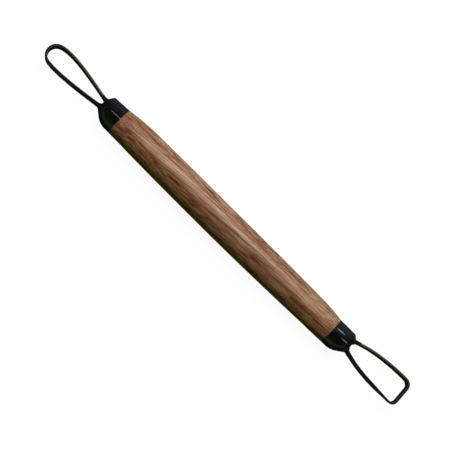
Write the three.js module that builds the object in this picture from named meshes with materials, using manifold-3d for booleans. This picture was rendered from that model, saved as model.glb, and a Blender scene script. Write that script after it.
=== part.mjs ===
// A double-ended ribbon tool for trimming and hollowing clay. A turned hardwood handle carries a loop of
// flat steel ribbon at each end: a round, teardrop loop at -X and a square one at +X. Each loop's two
// legs stand in a socket drilled into the end of the handle, in an epoxy plug that keys behind their bent
// ends. A black shrink sleeve covers the turned-down tenon, flush with the wood, and closes on the legs.
// Its melt lining fills the nose and leaves a rounded web between the legs and a thin collar on each.
//
// Frame: millimetres. The origin is the middle of the handle, on its turning axis. +X runs along the
// handle to the square loop, and +Z is up, at right angles to both loops.

import * as THREE from "three";
import { mergeVertices } from "three/addons/utils/BufferGeometryUtils.js";
import Module from "manifold-3d";

const wasm = await Module();
wasm.setup();

// Handle
const bareWoodLength = 119;
const bellyDiameter = 14.2;
const bellyEnds = [-30, 20];
const barrelRadius = 1500;
const tenonLength = 5.4;
const tenonChamfer = 0.6;
const socketDiameter = 7.6;
const socketDepth = 22;
const drillPointAngle = THREE.MathUtils.degToRad(118);

// Steel ribbon
const ribbonThickness = 1;
const ribbonWidth = 4.8;
const bevelWidth = 0.4;
const edgeLand = 0.35;
const legDepth = 19;
const legSpacing = 3;
const keyBendLength = 2.4;
const keyBend = 0.5;
const legBendStart = 2.7;
const legBendEase = 1.8;

// Sleeves
const sleeveWall = 0.5;
const sleeveRecess = 0.06;
const mouthWall = 0.2;
const mouthMelt = 0.1;
const mouthSquareness = 6;
const noseHalfSlope = 0.4;
const meltThickness = 0.3;
const webReach = 0.9;
const webSink = 0.15;
const webWidthShare = 0.8;
const webBayShare = 0.46;
const collarReach = 2.4;
const collarWall = 0.36;
const collarWaist = 0.2;
const collarEnd = 0.06;
const plugTipShare = 0.7;

// Clearances
const bondGap = 0.05;

// Facets round the handle, where half a step of turn puts a flat underneath, and points on each curve
const sides = 48;
const halfStep = Math.PI / sides;
const barrelSteps = 1;
const shoulderSteps = 6;
const curveSteps = 14;
const turnSteps = [0, 0.35, 0.7, 1];

// Each end is described from the end of the bare wood: u runs out from there, and v runs across the loop.
// Pairs give the side at +v first. The neck is where the legs leave the sleeve.
const neck = 9.8;

const roundLoop = {
  woodEndDiameter: 12.4,
  shoulder: 12,
  sleeveShift: 0.27,
  reach: 40.7,
  socketShift: -0.4,
  neckLegs: [1.2, -2],
  neckSlopes: [0.19, -0.18],
  legPull: 0.205,
  tipRadius: 4.2,
  tipCentre: -0.77,
  tipShort: [THREE.MathUtils.degToRad(11), THREE.MathUtils.degToRad(23)],
  nose: { mouths: [10, 9.6], slack: [0.3, 0], corners: [5.9, 8.1], rounds: [2.3, 0.5] },
};

const squareLoop = {
  woodEndDiameter: 11.86,
  shoulder: 14,
  sleeveShift: 0,
  reach: 38.5,
  socketShift: 0.4,
  neckLegs: [3.3, -1.05],
  neckSlopes: [0.42, -0.4],
  legPull: 0.3,
  legEdges: [7.3, -4.1],
  cornersAlongLeg: [3.5, 2.6],
  cornersAlongBar: [3.1, 2.6],
  barTilt: THREE.MathUtils.degToRad(2),
  cornerLean: THREE.MathUtils.degToRad(9),
  leanBack: 3,
  leanSpread: 5,
  nose: { mouths: [10, 10], slack: [0, 0.4], corners: [8.5, 5.7], rounds: [0.4, 1.5] },
};

const halfWood = bareWoodLength / 2;
const socketRadius = socketDiameter / 2;
const drillPoint = socketRadius / Math.tan(drillPointAngle / 2);

for (const loop of [roundLoop, squareLoop]) {
  loop.sleeveRadius = loop.woodEndDiameter / 2 - sleeveRecess;
  loop.tenonRadius = loop.sleeveRadius - sleeveWall - meltThickness - 2 * bondGap;
}

// Materials
const wood = new THREE.MeshStandardMaterial({ color: 0x9a6a4a, roughness: 0.5, metalness: 0 });
const blackSteel = new THREE.MeshStandardMaterial({ color: 0x1d211c, roughness: 0.45, metalness: 0.8 });
const blackSleeve = new THREE.MeshStandardMaterial({ color: 0x14151a, roughness: 0.25, metalness: 0 });
const blackMelt = new THREE.MeshStandardMaterial({ color: 0x121312, roughness: 0.4, metalness: 0 });
const amberEpoxy = new THREE.MeshStandardMaterial({ color: 0xb98a3c, roughness: 0.3, metalness: 0 });

// Solids and geometry

function solidOf(geometry) {
  const bare = geometry.clone();
  bare.deleteAttribute("normal");
  bare.deleteAttribute("uv");
  const merged = mergeVertices(bare, 1e-4);
  return new wasm.Manifold(
    new wasm.Mesh({
      numProp: 3,
      vertProperties: merged.attributes.position.array,
      triVerts: new Uint32Array(merged.index.array),
    }),
  );
}

function geometryOf(solid) {
  const mesh = solid.getMesh();
  const geometry = new THREE.BufferGeometry();
  geometry.setAttribute("position", new THREE.BufferAttribute(mesh.vertProperties, 3));
  geometry.setIndex(new THREE.BufferAttribute(mesh.triVerts, 1));
  geometry.computeVertexNormals();
  return geometry;
}

// A skin over rings of equally many points. It joins its last ring to its first, or ends in two flat caps.
function skin(rings, joined = false) {
  const count = rings[0].length;
  const corners = rings.flat();
  const faces = [];
  const spans = joined ? rings.length : rings.length - 1;
  for (let ring = 0; ring < spans; ring++) {
    const near = ring * count;
    const far = ((ring + 1) % rings.length) * count;
    for (let k = 0; k < count; k++) {
      const next = (k + 1) % count;
      faces.push(near + k, near + next, far + next, near + k, far + next, far + k);
    }
  }
  if (!joined) {
    const last = (rings.length - 1) * count;
    for (let k = 1; k < count - 1; k++) {
      faces.push(0, k + 1, k, last, last + k, last + k + 1);
    }
  }
  const geometry = new THREE.BufferGeometry();
  const numbers = corners.flatMap((p) => p.toArray());
  geometry.setAttribute("position", new THREE.Float32BufferAttribute(numbers, 3));
  geometry.setIndex(faces);
  geometry.computeVertexNormals();
  return geometry;
}

// A ring across the axis at u: a circle where power is 2, and a box with round corners at higher powers.
function crossRing(u, halfV, halfZ, centreV = 0, power = 2) {
  return Array.from({ length: sides }, (_, k) => {
    const turn = 2 * halfStep * k + halfStep;
    const c = Math.cos(turn);
    const s = Math.sin(turn);
    const v = Math.sign(c) * Math.abs(c) ** (2 / power) * halfV;
    const z = Math.sign(s) * Math.abs(s) ** (2 / power) * halfZ;
    return new THREE.Vector3(u, centreV + v, z);
  });
}

function roundBar(stations) {
  return skin(stations.map(([u, radius]) => crossRing(u, radius, radius)));
}

// Handle: one turned profile, from the bottom of one socket out and along to the bottom of the other. The
// belly is straight, so that the tool can lie still on it. The wood falls away from it in a long arc, and turns
// in over a shoulder at each end.

function handleEnd(loop, bellyEnd) {
  const { tenonRadius, woodEndDiameter, shoulder } = loop;
  const face = halfWood + tenonLength;
  const floor = face - socketDepth;
  const profile = [
    [0, floor - drillPoint],
    [socketRadius, floor],
    [socketRadius, face],
    [tenonRadius - tenonChamfer, face],
    [tenonRadius, face - tenonChamfer],
    [tenonRadius, halfWood],
  ];
  const barrel = (along) => bellyDiameter / 2 - (along - bellyEnd) ** 2 / (2 * barrelRadius);
  const fall = barrel(halfWood) - woodEndDiameter / 2;
  for (let k = 0; k < shoulderSteps; k++) {
    const share = k / shoulderSteps;
    const along = halfWood - shoulder * share;
    profile.push([barrel(along) - fall * (1 - share) ** 2, along]);
  }
  for (let k = 0; k <= barrelSteps; k++) {
    const along = THREE.MathUtils.lerp(halfWood - shoulder, bellyEnd, k / barrelSteps);
    profile.push([barrel(along), along]);
  }
  return profile.map(([radius, along]) => new THREE.Vector2(radius, along));
}

function handle() {
  const square = handleEnd(squareLoop, bellyEnds[1]);
  const round = handleEnd(roundLoop, -bellyEnds[0]).map((p) => new THREE.Vector2(p.x, -p.y));
  const profile = [...round, ...square.reverse()];
  const geometry = new THREE.LatheGeometry(profile, sides, halfStep);
  return geometry.rotateZ(-Math.PI / 2);
}

// Ribbon: a flat strip swept along its centreline, with both edges ground back on the outer face

// A run is a list of points: two for a straight line and four for a bend with its two pulls.
function curveOf(run) {
  return run.length === 2 ? new THREE.LineCurve(...run) : new THREE.CubicBezierCurve(...run);
}

// One leg as runs, from its keyed end in the socket, past the neck and on to the tip at meet. It comes
// there heading along arrival.
function legRuns(loop, k, meet, arrival) {
  const side = k === 0 ? 1 : -1;
  const inSocket = loop.socketShift + (side * legSpacing) / 2;
  const tail = tenonLength - legDepth;
  const slope = new THREE.Vector2(1, loop.neckSlopes[k]);
  const end = new THREE.Vector2(tail, inSocket - side * keyBend);
  const key = new THREE.Vector2(tail + keyBendLength, inSocket);
  const bendStart = new THREE.Vector2(legBendStart, inSocket);
  const eased = new THREE.Vector2(legBendStart + legBendEase, inSocket);
  const out = new THREE.Vector2(neck, loop.neckLegs[k]);
  const pull = (meet.x - neck) * loop.legPull;
  return [
    [end, key],
    [key, bendStart],
    [bendStart, eased, out.clone().addScaledVector(slope, -legBendEase), out],
    [
      out,
      out.clone().addScaledVector(slope, pull),
      meet.clone().addScaledVector(arrival, -pull / arrival.x),
      meet,
    ],
  ];
}

function centreline(loop, meets, arrivals, tip) {
  const [first, second] = meets.map((meet, k) => legRuns(loop, k, meet, arrivals[k]));
  const back = second.reverse().map((run) => run.reverse());
  const path = new THREE.CurvePath();
  path.curves.push(...first.map(curveOf), ...tip, ...back.map(curveOf));
  return path;
}

function roundCentreline() {
  const { reach, tipRadius, tipCentre, tipShort } = roundLoop;
  const tipU = reach - tipRadius;
  const angles = [Math.PI / 2 - tipShort[0], tipShort[1] - Math.PI / 2];
  const centre = new THREE.Vector2(tipU, tipCentre);
  const spoke = (angle) => new THREE.Vector2(Math.cos(angle), Math.sin(angle));
  const meets = angles.map((angle) => centre.clone().addScaledVector(spoke(angle), tipRadius));
  const arrivals = [spoke(angles[0] + Math.PI / 2).negate(), spoke(angles[1] + Math.PI / 2)];
  const arc = new THREE.EllipseCurve(tipU, tipCentre, tipRadius, tipRadius, angles[0], angles[1], true);
  return centreline(roundLoop, meets, arrivals, [arc]);
}

function squareCentreline() {
  const { reach, legEdges, cornersAlongLeg, cornersAlongBar, barTilt } = squareLoop;
  const middle = (legEdges[0] + legEdges[1]) / 2;
  const onBar = (v) => new THREE.Vector2(reach - (v - middle) * Math.tan(barTilt), v);
  const corners = legEdges.map(onBar);
  const meets = corners.map((p, k) => new THREE.Vector2(p.x - cornersAlongLeg[k], p.y));
  const barEnds = [onBar(legEdges[0] - cornersAlongBar[0]), onBar(legEdges[1] + cornersAlongBar[1])];
  const straight = new THREE.Vector2(1, 0);
  return centreline(squareLoop, meets, [straight, straight], [
    new THREE.QuadraticBezierCurve(meets[0], corners[0], barEnds[0]),
    new THREE.LineCurve(barEnds[0], barEnds[1]),
    new THREE.QuadraticBezierCurve(barEnds[1], corners[1], meets[1]),
  ]);
}

// The strip leans out of square by lean radians at a point of its path, as a hand-bent one does.
function sweptStrip(path, section, lean = () => 0) {
  const points = path.getPoints(curveSteps);
  const spine = points.filter((p, k) => k === 0 || p.distanceTo(points[k - 1]) > 1e-3);
  const steps = spine.slice(1).map((p, k) => p.clone().sub(spine[k]).normalize());
  const rings = spine.map((p, k) => {
    const ahead = steps[Math.min(k, steps.length - 1)];
    const behind = steps[Math.max(k - 1, 0)];
    const along = ahead.clone().add(behind).normalize();
    const miter = 1 / along.dot(ahead);
    const c = Math.cos(lean(p));
    const s = Math.sin(lean(p));
    return section.map(([n, w]) => {
      const out = (n * c + w * s) * miter;
      return new THREE.Vector3(p.x - along.y * out, p.y + along.x * out, w * c - n * s);
    });
  });
  return skin(rings);
}

const groundSection = [
  [-ribbonThickness / 2, -ribbonWidth / 2],
  [-ribbonThickness / 2 + edgeLand, -ribbonWidth / 2],
  [ribbonThickness / 2, -ribbonWidth / 2 + bevelWidth],
  [ribbonThickness / 2, ribbonWidth / 2 - bevelWidth],
  [-ribbonThickness / 2 + edgeLand, ribbonWidth / 2],
  [-ribbonThickness / 2, ribbonWidth / 2],
];

// The lower leg of the square loop leans a little as it comes to its corner. The end bar stands square.
function squareLean(p) {
  const { reach, legEdges, cornersAlongBar, cornerLean, leanBack, leanSpread } = squareLoop;
  const gone = (p.x - reach + leanBack) / leanSpread;
  const below = (legEdges[1] + cornersAlongBar[1] - p.y) / cornersAlongBar[1];
  return cornerLean * Math.exp(-gone * gone) * THREE.MathUtils.clamp(below, 0, 1);
}

// The room that a ribbon's legs take in what is moulded round them
function legRoom(path, lean) {
  const halfT = ribbonThickness / 2 + bondGap;
  const halfW = ribbonWidth / 2 + bondGap;
  const box = [[-halfT, -halfW], [halfT, -halfW], [halfT, halfW], [-halfT, halfW]];
  return solidOf(sweptStrip(path, box, lean));
}

// The same gap past the cut end of each leg
function legTips(path) {
  return [0, 1].map((end) => {
    const p = path.getPoint(end);
    const block = new THREE.BoxGeometry(2 * bondGap, 2 * ribbonThickness, ribbonWidth + 2 * bondGap);
    return solidOf(block.translate(p.x, p.y, 0));
  });
}

// Sleeve: a skin of even wall over the tenon, whose nose closes from a circle to a soft box round the legs

// The mouth goes round both legs, with some slack on one side. It is cut off slanted where its two sides
// reach differently far.
function mouthOf(loop) {
  const { mouths, slack } = loop.nose;
  const first = loop.neckLegs[0] + slack[0];
  const second = loop.neckLegs[1] - slack[1];
  const reachAt = (v) => THREE.MathUtils.mapLinear(v, second, first, mouths[1], mouths[0]);
  return { centre: (first + second) / 2, half: (first - second) / 2, reachAt };
}

// Both sides of the nose have their own corner too, so the rings run slanted between the two. An inner skin
// turns its corner a little earlier, by its inset times the half-slope of the nose.
function noseRings(loop, inset, mouthInset) {
  const { corners, rounds } = loop.nose;
  const mouth = mouthOf(loop);
  const grown = 2 * bondGap + mouthMelt + mouthWall - mouthInset;
  const mouthV = mouth.half + ribbonThickness / 2 + grown;
  const mouthRing = crossRing(0, mouthV, ribbonWidth / 2 + grown, mouth.centre, mouthSquareness);
  mouthRing.forEach((p) => p.setX(mouth.reachAt(p.y)));
  const radius = loop.sleeveRadius - inset;
  const between = (pair, c) => THREE.MathUtils.lerp(pair[1], pair[0], (1 + c) / 2);
  const rings = turnSteps.map((t) =>
    crossRing(0, radius, radius).map((p, k) => {
      const c = p.y / p.length();
      const cornerU = between(corners, c) - inset * noseHalfSlope;
      const corner = new THREE.Vector3(cornerU, p.y + loop.sleeveShift, p.z);
      const slope = mouthRing[k].clone().sub(corner).normalize();
      const before = corner.clone().setX(corner.x - between(rounds, c));
      const after = corner.clone().addScaledVector(slope, between(rounds, c));
      return new THREE.QuadraticBezierCurve3(before, corner, after).getPoint(t);
    }),
  );
  return [...rings, mouthRing];
}

// The first ring of a skin of the sleeve, over the tenon. The tube may sit a little off centre there.
function sleeveRing(loop, u, inset) {
  const radius = loop.sleeveRadius - inset;
  return crossRing(u, radius, radius, loop.sleeveShift);
}

function sleeve(loop) {
  const outer = [sleeveRing(loop, bondGap, 0), ...noseRings(loop, 0, 0)];
  const inner = [sleeveRing(loop, bondGap, sleeveWall), ...noseRings(loop, sleeveWall, mouthWall)];
  return skin([...outer, ...inner.reverse()], true);
}

// Melt lining: the thin layer on the tenon, the filled nose, the rounded web between the legs and a collar
// up each leg

// The tenon's own shape, one gap larger
function tenonRoom(loop) {
  const radius = loop.tenonRadius + bondGap;
  return roundBar([
    [-tenonLength, radius],
    [tenonLength - tenonChamfer + bondGap, radius],
    [tenonLength + bondGap, radius - tenonChamfer],
  ]);
}

function melt(loop, path, lean) {
  const inset = sleeveWall + bondGap;
  const nose = noseRings(loop, inset, mouthWall + bondGap);
  const filled = skin([sleeveRing(loop, 2 * bondGap, inset), ...nose]);
  const made = solidOf(filled)
    .subtract(solidOf(tenonRoom(loop)))
    .add(web(loop))
    .add(collar(loop, 0))
    .add(collar(loop, 1))
    .subtract(legRoom(path, lean));
  return geometryOf(made);
}

// What is squeezed out along a leg sets round it and thins out as it climbs. A row is how far past the mouth
// the collar is, and how thick it is over the faces and over the edges of the leg. It starts in the nose.
function collar(loop, k) {
  const profile = [
    [-webReach, mouthMelt, -bevelWidth],
    [bondGap, mouthMelt, -bevelWidth],
    [2 * bondGap, collarWall, collarWall],
    [collarReach / 3, collarWaist, collarWaist],
    [collarReach, collarEnd, collarEnd],
  ];
  const mouth = mouthOf(loop);
  const rings = profile.map(([past, overFaces, overEdges]) => {
    const halfV = ribbonThickness / 2 + bondGap + overFaces;
    const halfZ = ribbonWidth / 2 + bondGap + overEdges;
    const v = loop.neckLegs[k] + loop.neckSlopes[k] * (loop.nose.mouths[k] + past - neck);
    const ring = crossRing(0, halfV, halfZ, v, mouthSquareness);
    ring.forEach((p) => p.setX(mouth.reachAt(p.y) + past));
    return ring;
  });
  return solidOf(skin(rings));
}

// The web is a block between the legs, hollowed to a round bay.
function web(loop) {
  const mouth = (loop.nose.mouths[0] + loop.nose.mouths[1]) / 2;
  const [upper, lower] = loop.neckLegs;
  const gap = upper - lower - ribbonThickness;
  const flare = webReach * (loop.neckSlopes[0] - loop.neckSlopes[1]);
  const centre = (upper + lower) / 2;
  const bay = gap * webBayShare;
  const across = gap + ribbonThickness + flare;
  const block = new THREE.BoxGeometry(2 * webReach, across, ribbonWidth * webWidthShare);
  block.translate(mouth, centre, 0);
  const hollow = new THREE.CylinderGeometry(bay, bay, 2 * ribbonWidth, 24);
  hollow.rotateX(Math.PI / 2).translate(mouth + webSink + bay, centre, 0);
  return solidOf(block).subtract(solidOf(hollow));
}

// Epoxy plug: what fills the socket round the two legs

function plug(path, lean) {
  const radius = socketRadius - bondGap;
  const floor = tenonLength - socketDepth;
  const bar = roundBar([
    [floor - drillPoint * plugTipShare, radius * (1 - plugTipShare)],
    [floor + bondGap, radius],
    [tenonLength, radius],
  ]);
  const cuts = [legRoom(path, lean), ...legTips(path)];
  return geometryOf(cuts.reduce((rest, cut) => rest.subtract(cut), solidOf(bar)));
}

// Assembly

function part(name, geometry, material) {
  const mesh = new THREE.Mesh(geometry, material);
  mesh.name = name;
  return mesh;
}

function toolEnd(name, loop, path, lean) {
  const end = new THREE.Group();
  end.add(
    part(`${name}_ribbon`, sweptStrip(path, groundSection, lean), blackSteel),
    part(`${name}_end_sleeve`, sleeve(loop), blackSleeve),
    part(`${name}_end_melt`, melt(loop, path, lean), blackMelt),
    part(`${name}_end_plug`, plug(path, lean), amberEpoxy),
  );
  return end;
}

const roundEnd = toolEnd("round", roundLoop, roundCentreline());
roundEnd.position.x = -halfWood;
roundEnd.rotation.z = Math.PI;

const squareEnd = toolEnd("square", squareLoop, squareCentreline(), squareLean);
squareEnd.position.x = halfWood;

const tool = new THREE.Group();
tool.add(part("handle", handle(), wood), roundEnd, squareEnd);

export default tool;
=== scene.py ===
# %% [markdown]
# # A double-ended ribbon tool
#
# A potter trims and hollows clay with this tool. Its turned wooden handle carries a loop of flat,
# blackened steel ribbon at each end: a teardrop at -X and a square loop at +X. A black shrink sleeve covers
# each join.
#
# The solids of the tool are ready, at their real size. They come in as a fixed frame. Here each of them
# gets its finished surface: a finer mesh in the same place, and a material made from nodes. Every size
# below is in millimetres, and is turned into metres only where a mesh, a lamp or the camera is made.

# %% Load the frame
import math
from types import SimpleNamespace

import bmesh
import bpy
import numpy as np
from mathutils import Matrix, Quaternion, Vector, noise


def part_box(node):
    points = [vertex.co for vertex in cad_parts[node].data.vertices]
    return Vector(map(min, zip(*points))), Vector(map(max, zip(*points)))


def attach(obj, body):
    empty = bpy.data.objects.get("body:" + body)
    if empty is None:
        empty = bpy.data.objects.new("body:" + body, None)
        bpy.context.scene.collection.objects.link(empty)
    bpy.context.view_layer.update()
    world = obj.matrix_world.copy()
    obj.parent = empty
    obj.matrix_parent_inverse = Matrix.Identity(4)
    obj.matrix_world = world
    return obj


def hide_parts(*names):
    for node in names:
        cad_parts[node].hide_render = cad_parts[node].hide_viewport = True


MM = 0.001
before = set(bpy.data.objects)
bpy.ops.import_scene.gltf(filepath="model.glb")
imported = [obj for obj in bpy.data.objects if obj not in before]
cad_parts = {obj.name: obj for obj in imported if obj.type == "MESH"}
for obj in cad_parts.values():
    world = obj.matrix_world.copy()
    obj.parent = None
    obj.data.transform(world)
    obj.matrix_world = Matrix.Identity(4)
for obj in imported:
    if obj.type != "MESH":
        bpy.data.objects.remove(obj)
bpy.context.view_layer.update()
print("solids in the frame:", ", ".join(sorted(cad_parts)))

# %% [markdown]
# ## Sizes that everything shares
#
# A few sizes come straight from the frame, so that the surfaces follow the solids: where the handle's
# tenons end, how thick its belly is, and how wide the ribbon is. The others repeat the tool's own sizes.
# The handle's long arc differs on purpose. The solid is straighter than the real handle, because with more
# facets it never came to rest in simulation. The surface here follows the measured arc inside it.
#
# Each end is described on its own: u runs outwards from the end of the bare wood, and v runs across the
# loop. A pair gives the side at +v first. One function turns (u, v, z) into a place in the frame. The round
# end is turned half round about Z.

# %% Shared sizes
tenon_length = 5.4
tenon_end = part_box("handle")[1].x / MM
half_wood = tenon_end - tenon_length
belly_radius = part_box("handle")[1].z / MM
belly_ends = (-16.0, -4.0)
barrel_radius = 2300.0

ribbon_half_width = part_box("round_ribbon")[1].z / MM
ribbon_thickness = 1.0
bond_gap = 0.05
neck = 9.8

sleeve_recess = 0.03
sleeve_wall = 0.5
melt_thickness = 0.3

round_reach = -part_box("round_ribbon")[0].x / MM - half_wood - ribbon_thickness / 2
square_reach = 38.5

round_end = SimpleNamespace(
    name="round", side=-1, reach=round_reach,
    wood_radius=6.2, shoulder=14.0, shoulder_power=1.5, bow=0.17, sleeve_shift=0.25,
    socket_shift=-0.4, neck_legs=(1.2, -2.0), neck_slopes=(0.19, -0.18), leg_pull=0.205,
    mouths=(10.0, 9.6), slack=(0.3, 0.0), corners=(5.3, 8.1), rounds=(3.0, 0.6), taper=(0.0, 0.33),
)
square_end = SimpleNamespace(
    name="square", side=1, reach=square_reach,
    wood_radius=5.93, shoulder=8.5, shoulder_power=2.0, bow=0.28, sleeve_shift=-0.03,
    socket_shift=0.4, neck_legs=(3.3, -1.05), neck_slopes=(0.42, -0.4), leg_pull=0.3,
    mouths=(10.0, 10.0), slack=(0.0, 0.5), corners=(8.5, 5.2), rounds=(0.4, 2.8), taper=(0.0, 0.0),
)
for end in (round_end, square_end):
    end.sleeve_radius = end.wood_radius - sleeve_recess
    end.tenon_radius = end.sleeve_radius - sleeve_wall - melt_thickness - 2 * bond_gap


def place(end, u, v, z):
    """A point of one end of the tool, in metres in the frame."""
    return Vector((end.side * (half_wood + u), end.side * v, z)) * MM


print(f"bare wood {2 * half_wood:.1f} mm long, belly {2 * belly_radius:.2f} mm thick")
print(f"round loop reaches {round_end.reach:.2f} mm, square loop {square_end.reach:.2f} mm")

# %% [markdown]
# ## From rings to a mesh
#
# Everything on this tool is turned, drawn or bent, so every surface is a row of rings: rings round the
# handle, rings round the sleeve, and the ribbon's own section all along its length. One function skins such
# a row with four-sided faces. It could also be done with curves and a bevel, but rings let each piece
# change its section on the way, as the sleeve's nose does.
#
# The faces are shaded smooth, and an edge stays sharp only where the surface really turns a corner.

# %% Skinning a row of rings
def skin(name, rings, joined=False, sharp_from=38):
    """A mesh over rings of equally many points: joined end to start, or closed by a face at each end."""
    made = bmesh.new()
    loops = [[made.verts.new(point) for point in ring] for ring in rings]
    pairs = list(zip(loops, loops[1:]))
    if joined:
        pairs.append((loops[-1], loops[0]))
    else:
        made.faces.new(loops[0])
        made.faces.new(loops[-1])
    for near, far in pairs:
        for k in range(len(near)):
            after = (k + 1) % len(near)
            made.faces.new((near[k], near[after], far[after], far[k]))
    bmesh.ops.remove_doubles(made, verts=made.verts, dist=1e-7)
    bmesh.ops.recalc_face_normals(made, faces=made.faces)
    mesh = bpy.data.meshes.new(name)
    made.to_mesh(mesh)
    made.free()
    return finished(name, mesh, sharp_from)


def finished(name, mesh, sharp_from):
    """The mesh as an object, shaded smooth up to an angle."""
    mesh.shade_smooth()
    mesh.set_sharp_from_angle(angle=math.radians(sharp_from))
    piece = bpy.data.objects.new(name, mesh)
    bpy.context.scene.collection.objects.link(piece)
    print(f"{name}: {len(mesh.vertices)} points, {len(mesh.polygons)} faces")
    return piece


def bend(run, t):
    """The point at share t of a run: straight with two points, and a Bezier bend with three or four."""
    points = [np.array(p, float) for p in run]
    while len(points) > 1:
        points = [a + (b - a) * t for a, b in zip(points, points[1:])]
    return points[0]


# %% [markdown]
# ## The handle
#
# The handle was turned on a lathe: a cylinder in the middle, eased down to the ends, with a tenon under
# each sleeve and a drilled socket for the legs of the ribbon. A lathe is easy to copy: one profile, swung
# round the axis. Three things keep it from looking like a computer's cylinder. The ends of the bare wood
# are broken by a little sanding. The middle line bows by a quarter of a millimetre. The whole surface
# stands up and sinks by a hundredth of a millimetre or so, where oil and water have raised the grain.

# %% Turn the handle
handle_sides = 144
station_step = 0.6
edge_round = 0.22
grain_rise = 0.014
socket_radius = 3.8
socket_depth = 22.0
socket_floor = tenon_end - socket_depth
drill_half_angle = math.radians(59)
drill_point = socket_radius / math.tan(drill_half_angle)
tenon_chamfer = 0.6
bow_end = 14.0


def barrel(x):
    """The long arc of the handle: straight over the belly, and falling away evenly past both its ends."""
    past = max(0.0, belly_ends[0] - x, x - belly_ends[1])
    return belly_radius - past ** 2 / (2 * barrel_radius)


def wood_radius(x):
    """The turned radius at x: the arc, with a shoulder turned in at each end of the bare wood."""
    end = square_end if x > 0 else round_end
    turned_in = max(0.0, 1 - (half_wood - abs(x)) / end.shoulder)
    drop = barrel(end.side * half_wood) - end.wood_radius
    return barrel(x) - drop * turned_in ** end.shoulder_power


def wood_bow(x):
    """How far the middle line bows towards +Y at x. At each end it meets the middle of the sleeve."""
    end = square_end if x > 0 else round_end
    back = min(1.0, max(0.0, half_wood - abs(x)) / bow_end)
    own = back * (2 - back)
    return own * end.bow * (1.25 * abs(x) / half_wood) ** 1.5 + (1 - own) * end.side * end.sleeve_shift


def end_profile(end):
    """(x, radius) from the bottom of one end's socket out to the corner of its bare wood."""
    corner = [(half_wood, end.wood_radius - edge_round), (half_wood, end.wood_radius)]
    corner.append((half_wood - edge_round, end.wood_radius))
    inside = [
        (socket_floor - drill_point, 0.0),
        (socket_floor, socket_radius),
        (tenon_end, socket_radius),
        (tenon_end, end.tenon_radius - tenon_chamfer),
        (tenon_end - tenon_chamfer, end.tenon_radius),
        (half_wood, end.tenon_radius),
    ]
    inside += [tuple(bend(corner, t)) for t in np.linspace(0, 1, 5)]
    return [(end.side * x, radius) for x, radius in inside]


def handle_profile():
    """(x, radius) from the bottom of one socket, out over the wood, to the bottom of the other."""
    stations = np.arange(-half_wood + edge_round, half_wood - edge_round, station_step)
    bare = [(x, wood_radius(x)) for x in stations]
    return end_profile(round_end) + bare[1:] + end_profile(square_end)[::-1]


def handle_rings():
    """The profile swung round X, with the grain raised a little where the wood is bare."""
    rings = []
    for x, radius in handle_profile():
        ring = []
        for k in range(handle_sides):
            turn = 2 * math.pi * k / handle_sides
            y, z = math.sin(turn), math.cos(turn)
            lifted = noise.noise(Vector((x * 0.16, y * radius * 1.3, z * radius * 1.3)))
            sunk = grain_rise * (0.5 + 0.5 * lifted) if radius > round_end.tenon_radius + 0.1 else 0.0
            bow = wood_bow(x) if sunk else 0.0
            ring.append(Vector((x, y * (radius - sunk) + bow, z * (radius - sunk))) * MM)
        rings.append(ring)
    return rings


turned_handle = skin("turned_handle", handle_rings())
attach(turned_handle, "root")
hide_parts("handle")

# %% [markdown]
# ## The steel ribbon
#
# Each loop is one strip, bent to its outline and pushed into the handle by both ends. Seen from above the
# strip is thin, so its outline decides how the tool looks. The outline is built like a smith would bend it:
# straight in the socket, a first bend out of the sleeve, a long easy leg, the tip, and back again. Straight
# runs have two points, bends are Bezier curves, and the teardrop's tip is a true arc.
#
# The strip's section is a flat bar with both edges ground back on the outer face, as the cutting edges of
# such a loop are. Its corners are broken with a tiny radius, which is what catches light on real steel.

# %% The legs and tips of both loops
leg_depth = 19.0
tail = tenon_length - leg_depth
key_length = 2.4
key_bend = 0.5
leg_half_gap = 1.5
bend_start = 2.7
bend_ease = 1.8
tip_radius = 4.2
tip_centre = -0.77
tip_angles = (math.radians(79), math.radians(-67))
leg_edges = (7.3, -4.1)
corners_along_leg = (3.5, 2.6)
corners_along_bar = (3.1, 2.6)
bar_tilt = math.radians(2)
line_step = 0.25


def leg_runs(end, k, meet, arrival):
    """One leg, from its keyed end in the socket to the tip at meet, where it arrives along arrival."""
    side = 1 if k == 0 else -1
    in_socket = end.socket_shift + side * leg_half_gap
    slope = np.array([1, end.neck_slopes[k]])
    out = np.array([neck, end.neck_legs[k]])
    pull = (meet[0] - neck) * end.leg_pull
    straight = (bend_start, in_socket)
    return [
        [(tail, in_socket - side * key_bend), (tail + key_length, in_socket)],
        [(tail + key_length, in_socket), straight],
        [straight, (bend_start + bend_ease, in_socket), out - slope * bend_ease, out],
        [out, out + slope * pull, meet - arrival * pull / arrival[0], meet],
    ]


def whole_path(end, meets, arrivals, tip):
    """Points of the whole strip: up the first leg, round the tip and back down the second leg."""
    first, second = (leg_runs(end, k, meets[k], arrivals[k]) for k in (0, 1))
    runs = first + tip + [run[::-1] for run in second[::-1]]
    fine = np.linspace(0, 1, 60)
    points = [bend(run, t) if isinstance(run, list) else run(t) for run in runs for t in fine]
    return evenly(np.array(points))


def evenly(points):
    """The same line with a point at every step of its length."""
    lengths = np.linalg.norm(np.diff(points, axis=0), axis=1)
    kept = np.concatenate([[True], lengths > 1e-6])
    points = points[kept]
    along = np.concatenate([[0], np.cumsum(lengths[kept[1:]])])
    marks = np.linspace(0, along[-1], int(along[-1] / line_step) + 1)
    return np.stack([np.interp(marks, along, points[:, axis]) for axis in (0, 1)], 1)


def spoke(angle):
    return np.array([math.cos(angle), math.sin(angle)])


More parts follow.
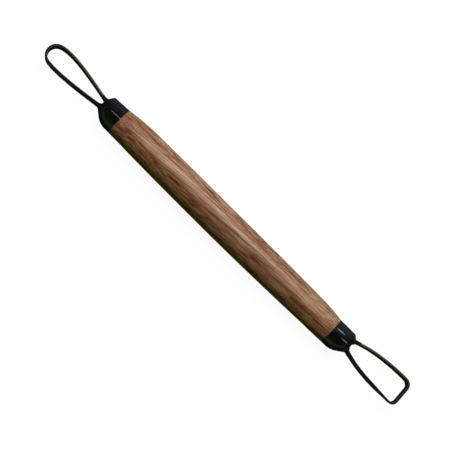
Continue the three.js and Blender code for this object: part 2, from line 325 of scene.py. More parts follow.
def round_path():
    centre = np.array([round_end.reach - tip_radius, tip_centre])
    meets = [centre + tip_radius * spoke(angle) for angle in tip_angles]
    arrivals = [-spoke(tip_angles[0] + math.pi / 2), spoke(tip_angles[1] + math.pi / 2)]

    def arc(t):
        return centre + tip_radius * spoke(tip_angles[0] + (tip_angles[1] - tip_angles[0]) * t)

    return whole_path(round_end, meets, arrivals, [arc])


def square_path():
    middle = sum(leg_edges) / 2

    def on_bar(v):
        return np.array([square_end.reach - (v - middle) * math.tan(bar_tilt), v])

    corners = [on_bar(v) for v in leg_edges]
    meets = [corners[k] - np.array([corners_along_leg[k], 0]) for k in (0, 1)]
    bar_ends = [on_bar(leg_edges[0] - corners_along_bar[0]), on_bar(leg_edges[1] + corners_along_bar[1])]
    straight = np.array([1, 0])
    tip = [[meets[0], corners[0], bar_ends[0]], bar_ends, [bar_ends[1], corners[1], meets[1]]]
    return whole_path(square_end, meets, [straight, straight], tip)


round_line, square_line = round_path(), square_path()
for name, line in (("round", round_line), ("square", square_line)):
    print(f"{name} strip: {np.linalg.norm(np.diff(line, axis=0), axis=1).sum():.1f} mm long")

# %% [markdown]
# ## Sweeping the strip
#
# The section is moved along the line, square to it. On the lower corner of the square loop the strip leans
# a few degrees, because a thick strip bent by hand never stays quite square. Each point of the mesh carries
# one attribute, how far along the strip it is. The steel's material reads it to lay its fine lines along
# the strip wherever that goes.

# %% Sweep the two strips
bevel_width = 0.4
edge_land = 0.35
corner_break = 0.07
corner_lean = math.radians(9)
lean_back, lean_spread = 3.0, 5.0


def rounded(polygon, radius, steps=3):
    """The polygon's outline with each corner broken to a small bend."""
    points = [np.array(p, float) for p in polygon]
    outline = []
    for k, corner in enumerate(points):
        before = points[k - 1] - corner
        after = points[(k + 1) % len(points)] - corner
        ends = [corner + way / np.linalg.norm(way) * radius for way in (before, after)]
        outline += [bend([ends[0], corner, ends[1]], t) for t in np.linspace(0, 1, steps)]
    return outline


half_t = ribbon_thickness / 2
ground_section = rounded(
    [
        (-half_t, -ribbon_half_width), (-half_t + edge_land, -ribbon_half_width),
        (half_t, -ribbon_half_width + bevel_width), (half_t, ribbon_half_width - bevel_width),
        (-half_t + edge_land, ribbon_half_width), (-half_t, ribbon_half_width),
    ],
    corner_break,
)


def square_lean(point):
    gone = (point[0] - square_end.reach + lean_back) / lean_spread
    below = (leg_edges[1] + corners_along_bar[1] - point[1]) / corners_along_bar[1]
    return corner_lean * math.exp(-gone * gone) * min(1.0, max(0.0, below))


def no_lean(point):
    return 0.0


def strip_rings(end, line, lean, section):
    """The section placed square to the line at each of its points."""
    steps = np.diff(line, axis=0)
    steps /= np.linalg.norm(steps, axis=1)[:, None]
    ahead = np.vstack([steps, steps[-1:]])
    behind = np.vstack([steps[:1], steps])
    rings = []
    for point, a, b in zip(line, ahead, behind):
        along = (a + b) / np.linalg.norm(a + b)
        c, s = math.cos(lean(point)), math.sin(lean(point))
        ring = []
        for n, w in section:
            out = n * c + w * s
            ring.append(place(end, point[0] - along[1] * out, point[1] + along[0] * out, w * c - n * s))
        rings.append(ring)
    return rings


def steel_strip(name, end, line, lean):
    piece = skin(name, strip_rings(end, line, lean, ground_section), sharp_from=50)
    along = piece.data.attributes.new("along_strip", "FLOAT", "POINT")
    for k in range(len(piece.data.vertices)):
        along.data[k].value = (k // len(ground_section)) * line_step
    return piece


round_strip = steel_strip("round_loop_strip", round_end, round_line, no_lean)
square_strip = steel_strip("square_loop_strip", square_end, square_line, square_lean)
for piece, node in ((round_strip, "round_ribbon"), (square_strip, "square_ribbon")):
    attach(piece, "root")
    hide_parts(node)

# %% [markdown]
# ## The shrink sleeves
#
# The sleeve is heat-shrink tube: slid over the tenon and warmed until it grips the wood and pulls in round
# the two legs. So it is a true circle over the tenon and a soft box at the mouth, and in between it turns a
# rounded shoulder that sits further out on one side than on the other. The rings are therefore slanted:
# each point round the sleeve has its own corner, and its own path over it.
#
# Where the tube had too much skin to lose, it gathers in faint pleats that fade out over the shoulder.

# %% Shrink the sleeves
sleeve_sides = 144
shoulder_steps = np.linspace(0, 1, 9)
nose_steps = np.linspace(0, 1, 9)[1:]
tube_steps = 10
mouth_wall = 0.2
mouth_melt = 0.1
mouth_power = 6
nose_half_slope = 0.4
pleats = 17
pleat_depth = 0.02


def between(pair, c):
    """A value that runs from the -v side's to the +v side's as c runs from -1 to 1."""
    return pair[1] + (pair[0] - pair[1]) * (1 + c) / 2


def soft_box(c, s, half_v, half_z, power):
    """A point of a box with round corners, at the turn that has this cosine and sine."""
    v = math.copysign(abs(c) ** (2 / power), c) * half_v
    z = math.copysign(abs(s) ** (2 / power), s) * half_z
    return v, z


def mouth_reach(end, v):
    """How far out the mouth is at v: it is cut slanted where its two sides reach differently far."""
    first, second = end.neck_legs[0] + end.slack[0], end.neck_legs[1] - end.slack[1]
    return end.mouths[1] + (end.mouths[0] - end.mouths[1]) * (v - second) / (first - second)


def mouth_point(end, c, s, mouth_inset):
    """The soft box that the sleeve closes to round the two legs, with some slack on one side."""
    first, second = end.neck_legs[0] + end.slack[0], end.neck_legs[1] - end.slack[1]
    grown = 2 * bond_gap + mouth_melt + mouth_wall - mouth_inset
    half_v = (first - second + ribbon_thickness) / 2 + grown
    v, z = soft_box(c, s, half_v, ribbon_half_width + grown, mouth_power)
    v += (first + second) / 2
    return np.array([mouth_reach(end, v), v, z])


def sleeve_line(end, turn, inset, mouth_inset, start):
    """Points of one skin of the sleeve at one turn: along the tube, over the shoulder and down the nose."""
    c, s = math.cos(turn), math.sin(turn)
    radius = end.sleeve_radius - inset
    first = np.array([start, radius * c + end.sleeve_shift, radius * s])
    corner = first - np.array([0, c, s]) * between(end.taper, c)
    corner[0] = between(end.corners, c) - inset * nose_half_slope
    mouth = mouth_point(end, c, s, mouth_inset)
    slope = (mouth - corner) / np.linalg.norm(mouth - corner)
    turned = between(end.rounds, c)
    before = corner - np.array([turned, 0, 0])
    after = corner + slope * turned
    tube = [first * (1 - t) + before * t for t in np.linspace(0, 1, tube_steps)]
    shoulder = [bend([before, corner, after], t) for t in shoulder_steps[1:]]
    nose = [after * (1 - t) + mouth * t for t in nose_steps]
    return tube + shoulder + nose


def pleated(line, turn, depth):
    """Sinks a line of the sleeve a little where a pleat lies, most of all just past the shoulder."""
    wave = 0.5 - 0.5 * math.cos(pleats * turn + 1.3 * math.sin(3 * turn))
    pleat = []
    for k, point in enumerate(line):
        share = (k - tube_steps) / (len(line) - tube_steps)
        fade = math.sin(math.pi * min(1.0, max(0.0, share))) ** 2
        inwards = np.array([0, math.cos(turn), math.sin(turn)]) * depth * wave * fade
        pleat.append(point - inwards)
    return pleat


def sleeve_skin(end, inset, mouth_inset, start, depth):
    """Rings of one skin of the sleeve, from the wood to the mouth."""
    turns = [2 * math.pi * (k + 0.5) / sleeve_sides for k in range(sleeve_sides)]
    lines = [pleated(sleeve_line(end, turn, inset, mouth_inset, start), turn, depth) for turn in turns]
    return [[place(end, *line[k]) for line in lines] for k in range(len(lines[0]))]


def shrink_sleeve(end):
    outer = sleeve_skin(end, 0, 0, bond_gap, pleat_depth)
    inner = sleeve_skin(end, sleeve_wall, mouth_wall, bond_gap, 0)
    piece = skin(f"{end.name}_shrink_sleeve", outer + inner[::-1], joined=True)
    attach(piece, "root")
    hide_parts(f"{end.name}_end_sleeve")
    return piece


sleeves = [shrink_sleeve(end) for end in (round_end, square_end)]

# %% [markdown]
# ## The melt
#
# The sleeve is lined with glue that melts as the tube shrinks. It fills the nose, and when the tube pulls
# in, a little is squeezed out. Between the legs it sets as a web with a round bay, and on each leg as a
# collar that thins out as it climbs. The filled nose is one skin of the same rings as the sleeve, one wall
# further in. The web is a second skin, swept across from leg to leg, that flares where it stands on the
# nose. A Boolean joins them and the two collars.

# %% Fill the noses and pull the webs
web_reach = 0.9
web_sink = 0.15
web_half_height = 1.8
web_foot = 0.35
web_steps = 25
web_sides = 40
web_power = 3.2
web_flare = 0.22
web_overlap_share = 0.6
web_bay_share = 0.46
collar_reach = 2.4
collar_wall = 0.46
collar_end = 0.06
collar_fade = 0.75


def web_ring(end, v, front):
    """The web's section at v: a soft box from inside the nose out to front, wider at its foot."""
    mouth = sum(end.mouths) / 2
    back = mouth - web_reach
    ring = []
    for k in range(web_sides):
        turn = 2 * math.pi * k / web_sides
        out, z = soft_box(math.cos(turn), math.sin(turn), (front - back) / 2, web_half_height, web_power)
        u = (front + back) / 2 + out
        foot = web_foot * math.exp(-max(0.0, u - mouth) / web_flare)
        ring.append(place(end, u, v, z * (1 + foot / web_half_height)))
    return ring


def melt_web(end):
    """Rings of the web, from leg to leg round its bay."""
    upper, lower = end.neck_legs
    gap = upper - lower - ribbon_thickness
    across = gap + ribbon_thickness * web_overlap_share
    bay = gap * web_bay_share
    centre = (upper + lower) / 2
    rings = []
    for v in np.linspace(-across / 2, across / 2, web_steps):
        inside = max(0.0, 1 - (v / bay) ** 2)
        front = min(web_reach, web_sink + bay * (1 - math.sqrt(inside)))
        rings.append(web_ring(end, centre + v, sum(end.mouths) / 2 + front))
    return rings


def collar_ring(end, k, past, wall):
    """A soft box round leg k, this far past the mouth."""
    centre = end.neck_legs[k] + end.neck_slopes[k] * (end.mouths[k] + past - neck)
    ring = []
    for side in range(web_sides):
        turn = 2 * math.pi * (side + 0.5) / web_sides
        half_v = ribbon_thickness / 2 + wall
        half_z = ribbon_half_width + min(wall, wall * 2 - collar_end)
        v, z = soft_box(math.cos(turn), math.sin(turn), half_v, half_z, mouth_power)
        ring.append(place(end, mouth_reach(end, centre + v) + past, centre + v, z))
    return ring


def melt_collar(end, k):
    """Rings of the collar up leg k, from inside the nose to where it runs out."""
    inside = [(-web_reach, collar_end), (-bond_gap, collar_end)]
    climb = np.linspace(2 * bond_gap, collar_reach, 12)
    walls = [collar_end + (collar_wall - collar_end) * math.exp(-past / collar_fade) for past in climb]
    return [collar_ring(end, k, past, wall) for past, wall in inside + list(zip(climb, walls))]


def joined(base, others):
    """The base with the other pieces united with it, which are used up."""
    for other in others:
        joint = base.modifiers.new(other.name, "BOOLEAN")
        joint.operation = "UNION"
        joint.solver = "EXACT"
        joint.object = other
    bpy.context.view_layer.update()
    union = bpy.data.meshes.new_from_object(base.evaluated_get(bpy.context.evaluated_depsgraph_get()))
    base.modifiers.clear()
    base.data = union
    for other in others:
        bpy.data.objects.remove(other)
    return base


def melt(end):
    inset = sleeve_wall + bond_gap
    filled = sleeve_skin(end, inset, mouth_wall + bond_gap, 2 * bond_gap, 0)
    others = [skin(f"{end.name}_web", melt_web(end))]
    others += [skin(f"{end.name}_collar_{k}", melt_collar(end, k), sharp_from=60) for k in (0, 1)]
    nose = joined(skin(f"{end.name}_melt", filled), others)
    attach(nose, "root")
    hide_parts(f"{end.name}_end_melt")
    return nose


melts = [melt(end) for end in (round_end, square_end)]

# %% [markdown]
# ## Shader maths as expressions
#
# A material made of nodes is easier to read as a formula. This small class holds one output socket. Adding,
# multiplying or comparing such sockets adds Math nodes. Colours go through Mix, because a Math node would
# turn them grey, and any other node comes from one method.

# %% A socket with operators
class Socket:
    """One output of a node. Expressions on sockets add the Math nodes that work them out."""

    def __init__(self, tree, output=None):
        self.tree = tree
        self.output = output

    def node(self, kind, settings=None, inputs=None, output=0):
        """Adds a node: its settings are set first, then its sockets get their values or links."""
        made = self.tree.nodes.new("ShaderNode" + kind)
        for name, value in (settings or {}).items():
            setattr(made, name, value)
        for name, value in (inputs or {}).items():
            if isinstance(value, Socket):
                self.tree.links.new(value.output, made.inputs[name])
            else:
                made.inputs[name].default_value = value
        return Socket(self.tree, made.outputs[output] if made.outputs else None)

    def math(self, operation, *values):
        return self.node("Math", {"operation": operation}, dict(enumerate(values)))

    def __add__(self, other):
        return self.math("ADD", self, other)

    __radd__ = __add__

    def __mul__(self, other):
        return self.math("MULTIPLY", self, other)

    def __sub__(self, other):
        return self.math("SUBTRACT", self, other)

    def __truediv__(self, other):
        return self.math("DIVIDE", self, other)

    def __pow__(self, other):
        return self.math("POWER", self, other)

    def __abs__(self):
        return self.math("ABSOLUTE", self)

    def most(self, other):
        return self.math("MAXIMUM", self, other)

    def ease(self, low, high, start=0.0, end=1.0):
        """Runs smoothly from start to end as the value goes from low to high."""
        inputs = {"Value": self, "From Min": low, "From Max": high, "To Min": start, "To Max": end}
        return self.node("MapRange", {"interpolation_type": "SMOOTHSTEP"}, inputs)

    def mix(self, low, high):
        """The colour low where the value is 0 and high where it is 1."""
        return self.node("Mix", {"data_type": "RGBA"}, {0: self, 6: low, 7: high}, output=2)

    def stretched(self, *scale):
        """A vector with each of its three parts multiplied."""
        return self.node("VectorMath", {"operation": "MULTIPLY"}, {0: self, 1: scale})

    def moved(self, vector):
        return self.node("VectorMath", {"operation": "ADD"}, {0: self, 1: vector})

    def parts(self):
        return [self.node("SeparateXYZ", inputs={"Vector": self}, output=k) for k in range(3)]

    def noise(self, detail=2.0, roughness=0.5, distortion=0.0):
        """Noise of about 0 to 1 at a vector."""
        inputs = {"Vector": self, "Scale": 1.0, "Detail": detail, "Roughness": roughness}
        inputs["Distortion"] = distortion
        return self.node("TexNoise", inputs=inputs)


def colour(red, green, blue):
    """A colour as a screen shows it, 0 to 255, as the linear colour that sockets take."""
    parts = [c / 255 for c in (red, green, blue)]
    return tuple(((c + 0.055) / 1.055) ** 2.4 if c > 0.04045 else c / 12.92 for c in parts) + (1.0,)


def new_material(name):
    """An empty material, and the start of its expressions: the place on the piece, in millimetres."""
    material = bpy.data.materials.new(name)
    material.use_nodes = True
    material.node_tree.nodes.clear()
    start = Socket(material.node_tree)
    where = start.node("TexCoord", output="Object").stretched(1 / MM, 1 / MM, 1 / MM)
    return material, where


def satin(start, looks, level, dry_from, dry_to):
    """A glossy surface that goes dry where it is seen at a slant, as a fine-textured one does."""
    shiny = start.node("BsdfPrincipled", inputs=looks | {"Specular IOR Level": level})
    dry = start.node("BsdfPrincipled", inputs=looks | {"Specular IOR Level": 0.0})
    facing = start.node("LayerWeight", inputs={"Blend": 0.5}, output="Facing")
    return start.node("MixShader", inputs={0: facing.ease(dry_from, dry_to), 1: shiny, 2: dry})


def surface(material, shader):
    """Sends a shader to the material's output."""
    shader.node("OutputMaterial", inputs={"Surface": shader})
    return material


print("shader helpers ready")

# %% [markdown]
# ## Wood
#
# The handle is an open-pored hardwood with a reddish-brown figure on a tan ground, turned from stock whose
# grain runs a few degrees out of line with the axis. That slant is the character of this handle: every line
# of grain climbs slowly across it. A picture wrapped round the handle would show a seam and stretch on the
# tapers. A solid pattern doesn't: each point of the surface asks what the tree was like just there, as if
# the handle had really been cut out of it.
#
# The pattern is built up from what wood is made of: growth layers, a figure that darkens some stretches of
# them, fine long flecks, and pores, which are short dark dashes cut open lengthwise by the gouge. Some
# things are listed one by one: lighter and darker zones, red ripples next to the round end's sleeve, bold
# streaks, and a darker band along the -Y side, partly the wood's darker figure and partly painted shade.

# %% Colours and streaks of the wood
grain_slant = math.radians(3.6)
pith_distance = 74.0
pith_height = 16.0
layer_width = 1.18
ground_tan = colour(173, 125, 97)
deep_brown = colour(99, 44, 28)
red_brown = colour(136, 73, 52)
pore_brown = colour(66, 38, 24)
pale_tan = colour(197, 153, 130)
streak_brown = colour(68, 27, 15)
# Partly the wood's darker figure and partly painted shade: the colour of the band along the -Y side.
dark_figure_and_shade_brown = colour(96, 56, 14)
ripple_red = colour(146, 66, 58)

# How often each pattern changes in a millimetre, along the handle and across it.
figure_scale = (0.035, 0.75, 0.75)
patch_scale = (0.028, 0.22, 0.22)
streak_scale = (0.036, 2.4, 2.4)
fleck_scale = (0.08, 3.4, 3.4)
pore_scale = (0.42, 6.5, 6.5)
ripple_scale = (1.7, 0.35, 0.35)
grain_wander = 0.8
turn_wobble = 8.0

# Each streak runs from (x, turn) to (x, turn), in millimetres and degrees from the top, and has a strength.
streaks = [
    ((-57, -29), (-50, -29), 0.6), ((-51, -24), (-45, -15), 0.45), ((-40, -25), (-36, -25), 0.6),
    ((-35, -31), (-30, -38), 0.6), ((-30, -26), (-20, -19), 0.8), ((-16, -38), (-7, -24), 0.8),
    ((-8, -14), (2, -4), 0.65), ((2, -4), (20, 7), 0.6), ((-2, -33), (1, -33), 0.9),
    ((11, -35), (17, -29), 0.7), ((15, -24), (20, -18), 0.7), ((31, -26), (37, -19), 0.7),
    ((37, -28), (49, -28), 0.75), ((50, -26), (58, -23), 0.65), ((-47, 16), (-39, 17), 0.25),
    ((-40, 7), (-36, 7), 0.4), ((-17, 24), (-10, 33), 0.5), ((-20, 46), (-7, 35), 0.7),
    ((24, 39), (42, 38), 0.6), ((24, 32), (33, 27), 0.5), ((20, 3), (28, 3), 0.3), ((29, 5), (38, 5), 0.3),
]
streak_half_width = 5.0
dark_zones = [((-36, 28), (-9, 31), 0.6), ((22, 31), (46, 28), 0.42)]
pale_zones = [((-48, -6), (-24, -2), 0.4), ((22, -4), (48, 0), 0.6)]
zone_half_width = 13.0
zone_taper = 7.0


def line(x, turn, start, stop, half_width, taper=1.5):
    """1 on the line between two places given as (x, turn), fading to 0 beside it and past its ends."""
    ends = {"From Min": start[0], "From Max": stop[0], "To Min": start[1], "To Max": stop[1]}
    away = abs(turn - x.node("MapRange", inputs={"Value": x} | ends))
    begun = x.ease(start[0] - taper, start[0] + taper)
    ended = x.ease(stop[0] + taper, stop[0] - taper)
    return away.ease(half_width, 0.0) * begun * ended


def drawn(x, turn, lines, half_width, taper=1.5):
    """How strongly the nearest of some drawn lines shows at x and turn."""
    shown = 0.0
    for start, stop, strength in lines:
        shown = (line(x, turn, start, stop, half_width, taper) * strength).most(shown)
    return shown


# %% Wood material
def wood_material():
    material, where = new_material("oiled_hardwood")
    x, y, z = where.parts()
    wander = where.stretched(0.04, 0.16, 0.16).noise(1.5)
    leaned_y = y - x * math.tan(grain_slant) + (wander - 0.5) * grain_wander
    to_pith_y = leaned_y + pith_distance
    to_pith_z = z - pith_height
    rings = (to_pith_y * to_pith_y + to_pith_z * to_pith_z) ** 0.5
    grain = where.node("CombineXYZ", inputs={"X": x, "Y": leaned_y, "Z": z})

    layer = rings / layer_width
    within = where.math("FRACT", layer)
    early = within.ease(0.0, 0.22) * within.ease(0.95, 0.45)
    figure = grain.stretched(*figure_scale).noise(3.0, 0.6)
    patches = grain.stretched(*patch_scale).moved((4.0, 7.0, 1.0)).noise(2.0)
    streak = grain.stretched(*streak_scale).moved((11.0, 3.0, 5.0)).noise(3.0, 0.62)
    dark = streak.ease(0.49, 0.60) * figure.ease(0.32, 0.58)
    pale = streak.ease(0.46, 0.34)
    fleck = grain.stretched(*fleck_scale).moved((2.0, 9.0, 6.0)).noise(3.0, 0.65)
    pore_field = grain.stretched(*pore_scale).noise(2.0, 0.55)
    pores = pore_field.ease(0.60, 0.70) * (0.35 + early * 0.65)

    wobble = grain.stretched(0.25, 0.3, 0.3).noise(2.0)
    turn = where.math("ARCTAN2", y, z) * math.degrees(1) + (wobble - 0.5) * turn_wobble
    bold = drawn(x, turn, streaks, streak_half_width) * streak.ease(0.62, 0.42, start=1.0, end=1.6)
    darker = drawn(x, turn, dark_zones, zone_half_width, zone_taper)
    paler = drawn(x, turn, pale_zones, zone_half_width, zone_taper)
    # A band along the -Y side, partly the wood's darker figure and partly painted shade.
    dark_figure_and_shade = turn.ease(0.0, -18.0) * turn.ease(-84.0, -60.0)
    ripples = where.stretched(*ripple_scale).noise(2.0, 0.6, 0.6).ease(0.48, 0.60)
    ripples = ripples * x.ease(-51.0, -56.0)

    ground = patches.ease(0.3, 0.7).mix(ground_tan, red_brown)
    ground = (figure.ease(0.35, 0.75) * 0.35).mix(ground, pale_tan)
    ground = (pale * 0.4).mix(ground, pale_tan)
    ground = darker.mix(paler.mix(ground, pale_tan), red_brown)
    ground = (ripples * 0.8).mix(ground, ripple_red)
    layered = (early * 0.22).mix((dark_figure_and_shade * 0.46).mix(ground, dark_figure_and_shade_brown), deep_brown)
    streaked = (dark * 0.9).mix(layered, deep_brown)
    streaked = bold.mix(streaked, streak_brown)
    flecked = (fleck.ease(0.48, 0.61) * 0.75).mix(streaked, deep_brown)
    flecked = (fleck.ease(0.50, 0.38) * 0.55).mix(flecked, pale_tan)
    base = (pores * 0.55).mix(flecked, pore_brown)

    relief = pores * -0.6 - early * 0.15 + streak * 0.1 + fleck * 0.25
    bump = where.node("Bump", inputs={"Strength": 0.35, "Distance": 0.05 * MM, "Height": relief})
    roughness = 0.34 + pores * 0.25 + figure * 0.06
    looks = {"Base Color": base, "Roughness": roughness, "Normal": bump}
    return surface(material, satin(where, looks, 0.3, 0.08, 0.32))


turned_handle.data.materials.append(wood_material())

# %% [markdown]
# ## Blackened steel
#
# The ribbon is spring steel, hardened and left black from the quench. Rolled strip shows faint lines along
# its length, and the black is a little uneven.

# %% Steel material
steel_black = colour(42, 49, 35)
steel_grey = colour(58, 66, 48)
no_edge_shine = (0.0, 0.0, 0.0, 1.0)


def steel_material():
    material, where = new_material("blackened_steel")
    along = where.node("Attribute", {"attribute_name": "along_strip"}, output="Fac")
    across = where.parts()[2]
    drawn_out = {"X": along * 0.12, "Y": across * 9.0, "Z": 0.0}
    lines = where.node("CombineXYZ", inputs=drawn_out).noise(2.0, 0.6)
    mottle = where.stretched(0.5, 0.5, 0.5).noise(3.0, 0.6)
    base = (lines.ease(0.35, 0.8) * 0.4 + mottle.ease(0.4, 0.8) * 0.25).mix(steel_black, steel_grey)
    bump = where.node("Bump", inputs={"Strength": 0.2, "Distance": 0.02 * MM, "Height": lines})
    looks = {"Base Color": base, "Metallic": 1.0, "Roughness": 0.38 + mottle * 0.2, "Normal": bump}
    looks["Specular Tint"] = no_edge_shine
    return surface(material, where.node("BsdfPrincipled", inputs=looks))


steel = steel_material()
for strip in (round_strip, square_strip):
    strip.data.materials.append(steel)

# %% [markdown]
# ## Sleeve, melt and epoxy
#
# The sleeve is black polyolefin: smooth, a little wavy from the heat, with fine scuffs. On the square end
# two short grey lines are painted highlights, drawn where glints fall. The black is painted lighter and
# violet on the +Y side, a painted sheen, and green on the -Y side, a painted shade. The melt is duller. The
# epoxy in the sockets never shows once the tool is together, but it is there, amber and slightly cloudy.

# %% Plastics
sleeve_black = colour(15, 15, 20)
# Painted light: a lighter violet sheen for the +Y side and a green shade for the -Y side.
sleeve_painted_sheen = colour(33, 33, 37)
sleeve_painted_shade = colour(31, 47, 25)
sleeve_scuff = colour(34, 34, 37)
# Painted highlights: a pale grey drawn along two short lines on the square sleeve, where glints fall.
painted_glint_grey = colour(150, 151, 166)
painted_glint_lines = [((61.1, 14.4), (63.7, 16.9), 1.0), ((65.2, -3.0), (67.3, 0.0), 0.85)]
painted_glint_half_width = 4.2
melt_black = colour(20, 27, 16)
melt_dust = colour(30, 40, 26)
amber = colour(185, 138, 60)
amber_deep = colour(132, 84, 28)


def sleeve_material():
    material, where = new_material("black_shrink_tube")
    x, y, z = where.parts()
    turn = where.math("ARCTAN2", y, z) * math.degrees(1)
    waves = where.stretched(0.5, 0.5, 0.5).noise(2.0, 0.5)
    scuffs = where.stretched(0.8, 5.0, 5.0).noise(4.0, 0.7)
    worn = scuffs.ease(0.6, 0.8)
    # Two thin lines of painted highlight, where glints fall on the square sleeve.
    painted_glint_mask = drawn(x, turn, painted_glint_lines, painted_glint_half_width)
    bump = where.node("Bump", inputs={"Strength": 0.05, "Distance": 0.08 * MM, "Height": waves})
    # Painted light: the black turns lighter towards +Y, a painted sheen, and green towards -Y, painted
    # shade.
    sheen_and_shade_black = turn.ease(-5.0, 50.0).mix(sleeve_black, sleeve_painted_sheen)
    sheen_and_shade_black = turn.ease(-18.0, -60.0).mix(sheen_and_shade_black, sleeve_painted_shade)
    base = (worn * 0.15).mix(sheen_and_shade_black, sleeve_scuff)
    base = painted_glint_mask.mix(base, painted_glint_grey)
    looks = {"Base Color": base, "Roughness": 0.08 + worn * 0.12, "Normal": bump}
    return surface(material, satin(where, looks, 0.12, 0.12, 0.4))


def melt_material():
    material, where = new_material("black_melt")
    lumps = where.stretched(1.2, 1.2, 1.2).noise(3.0, 0.55)
    bump = where.node("Bump", inputs={"Strength": 0.4, "Distance": 0.12 * MM, "Height": lumps})
    base = lumps.ease(0.4, 0.8).mix(melt_black, melt_dust)
    looks = {"Base Color": base, "Roughness": 0.35 + lumps * 0.2, "Normal": bump}
    return surface(material, satin(where, looks, 0.05, 0.15, 0.5))


def epoxy_material():
    material, where = new_material("amber_epoxy")
    cloud = where.stretched(0.6, 0.6, 0.6).noise(3.0, 0.6)
    bump = where.node("Bump", inputs={"Strength": 0.3, "Distance": 0.05 * MM, "Height": cloud})
    base = cloud.ease(0.3, 0.7).mix(amber, amber_deep)
    looks = {"Base Color": base, "Roughness": 0.25, "Normal": bump}
    return surface(material, where.node("BsdfPrincipled", inputs=looks))


black_sleeve, black_melt, epoxy = sleeve_material(), melt_material(), epoxy_material()
for piece in sleeves:
    piece.data.materials.append(black_sleeve)
for piece in melts:
    piece.data.materials.clear()
    piece.data.materials.append(black_melt)
for name in ("round_end_plug", "square_end_plug"):
    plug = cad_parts[name]
    plug.material_slots[0].material = epoxy
print("materials:", ", ".join(sorted(m.name for m in bpy.data.materials)))

# %% [markdown]
# ## Floor and background
#
# The tool lies on a plain white floor. The white is the colour of the floor as the camera and shiny
# surfaces see it, and not a flood of light: rays that carry light to the tool meet a dim floor instead, so
# the underside of the handle stays dark. A share of the floor's colour is ordinary lit paint, and that
# share keeps the tool's soft shadow.

# %% Floor
floor_size = 6000.0
floor_glow = 0.96
floor_paint = (0.07, 0.07, 0.07, 1.0)
floor_bounce = (0.10, 0.16, 0.06, 1.0)


def seen_directly(start):
    """1 for rays from the camera, and in mirrors and glass."""
    paths = [start.node("LightPath", output=name) for name in ("Is Camera Ray", "Is Glossy Ray")]
    return paths[0].most(paths[1]).most(start.node("LightPath", output="Is Transmission Ray"))


def floor_material():
    material, where = new_material("pale_floor")
    glow = where.node("Emission", inputs={"Strength": floor_glow})
    paint = where.node("BsdfDiffuse", inputs={"Color": floor_paint})
    shown = where.node("AddShader", inputs={0: glow, 1: paint})
    bounce = where.node("BsdfDiffuse", inputs={"Color": floor_bounce})
    return surface(material, where.node("MixShader", inputs={0: seen_directly(where), 1: bounce, 2: shown}))


floor_mesh = bpy.data.meshes.new("floor")
floor_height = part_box("handle")[0].z
edge = floor_size / 2 * MM
corners = [(x * edge, y * edge, floor_height) for x, y in ((-1, -1), (1, -1), (1, 1), (-1, 1))]
floor_mesh.from_pydata(corners, [], [(0, 1, 2, 3)])
floor = bpy.data.objects.new("floor", floor_mesh)
bpy.context.scene.collection.objects.link(floor)
floor_mesh.materials.append(floor_material())
print(f"floor at {floor_height / MM:.3f} mm")

# %% Room
room_light = (0.045, 0.128, 0.014, 1.0)
white = (1.0, 1.0, 1.0, 1.0)
ceiling = (0.03, 0.03, 0.032, 1.0)


def room():
    """A white backdrop all round and a dark ceiling, which light the tool only faintly."""
    world = bpy.data.worlds.new("room")
    world.use_nodes = True
    world.node_tree.nodes.clear()
    start = Socket(world.node_tree)
    height = start.node("TexCoord", output="Generated").parts()[2]
    backdrop = height.ease(0.10, 0.45).mix(white, ceiling)
    shown = start.node("Background", inputs={"Color": backdrop})
    light = start.node("Background", inputs={"Color": room_light})
    mixed = start.node("MixShader", inputs={0: seen_directly(start), 1: light, 2: shown})
    start.node("OutputWorld", inputs={"Surface": mixed})
    return world


bpy.context.scene.world = room()

# %% [markdown]
# ## Light
#
# Three lamps stand on the +Y side, one above the other. The key lamp and the soft one give the handle its
# form and the broad sheen along the oiled wood, and the rim lamp, low down, lifts the far edge. Their tints
# are those of this one photograph. The room fills in a little olive light on the other side. A small panel
# hangs over the round end of the tool. It adds little light, but draws a thin streak on the glossy sleeve.

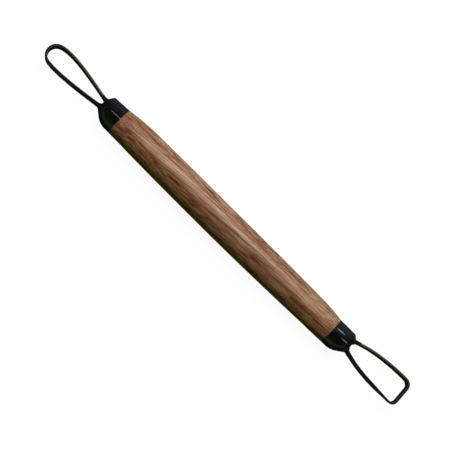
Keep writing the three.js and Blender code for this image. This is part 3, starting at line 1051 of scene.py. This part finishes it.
# %% Lamps
def lamp(name, spot, size, power, tint=(1.0, 1.0, 1.0), spin=0.0):
    """An area lamp at a spot in millimetres, aimed at the middle of the tool and spun about its beam."""
    data = bpy.data.lights.new(name, "AREA")
    data.color = tint
    data.shape = "RECTANGLE"
    data.size, data.size_y = (side * MM for side in size)
    data.energy = power
    made = bpy.data.objects.new(name, data)
    made.location = spot * MM
    made.rotation_mode = "QUATERNION"
    made.rotation_quaternion = spot.to_track_quat("Z", "Y") @ Quaternion((0, 0, 1), spin)
    bpy.context.scene.collection.objects.link(made)
    return made


def over(turn, along, distance):
    """The spot at a turn from straight up towards +Y, this far along X and this far from the axis."""
    return Vector((along, distance * math.sin(turn), distance * math.cos(turn)))


lamp_distance = 520
key_tint = (1.0, 0.62, 0.75)
soft_tint = (0.98, 1.0, 0.78)
rim_tint = (0.46, 1.0, 0.95)
streak_spot = over(math.radians(10.0), -134, 500)
streak_size = (36.0, 60.0)
streak_power = 0.18
streak_spin = math.radians(-9)
lamp("key", over(math.radians(38), 0, lamp_distance), (200, 200), 0.88, key_tint)
lamp("soft", over(math.radians(23), 0, lamp_distance), (220, 220), 1.38, soft_tint)
lamp("rim", over(math.radians(80), 0, lamp_distance), (200, 100), 1.8, rim_tint)
lamp("streak_round", streak_spot, streak_size, streak_power, spin=streak_spin)

# %% [markdown]
# ## Camera
#
# The photograph was taken from about half a metre, eleven degrees to the -Y side of straight above, with
# the tool running down across the picture.

# %% Camera
camera_distance = 524.0
camera_tilt = math.radians(11)
picture_turn = math.radians(44.706)
aim_at = Vector((1.14, 0.22, 0))
focal_length = 103.24
sensor_width = 36
nearest_seen = 10.0

back = Vector((0, -math.sin(camera_tilt), math.cos(camera_tilt)))
upwards = Vector((0, math.cos(camera_tilt), math.sin(camera_tilt)))
along_tool = Vector((1, 0, 0))
right = along_tool * math.cos(picture_turn) + upwards * math.sin(picture_turn)
up = upwards * math.cos(picture_turn) - along_tool * math.sin(picture_turn)
camera_data = bpy.data.cameras.new("camera")
camera_data.lens = focal_length
camera_data.sensor_width = sensor_width
camera_data.clip_start = nearest_seen * MM
camera = bpy.data.objects.new("camera", camera_data)
spot = (aim_at + back * camera_distance) * MM
camera.matrix_world = Matrix.Translation(spot) @ Matrix((right, up, back)).transposed().to_4x4()
bpy.context.scene.collection.objects.link(camera)
bpy.context.scene.camera = camera
bpy.context.scene.view_settings.view_transform = "Standard"
print("camera at", [round(c, 4) for c in spot])
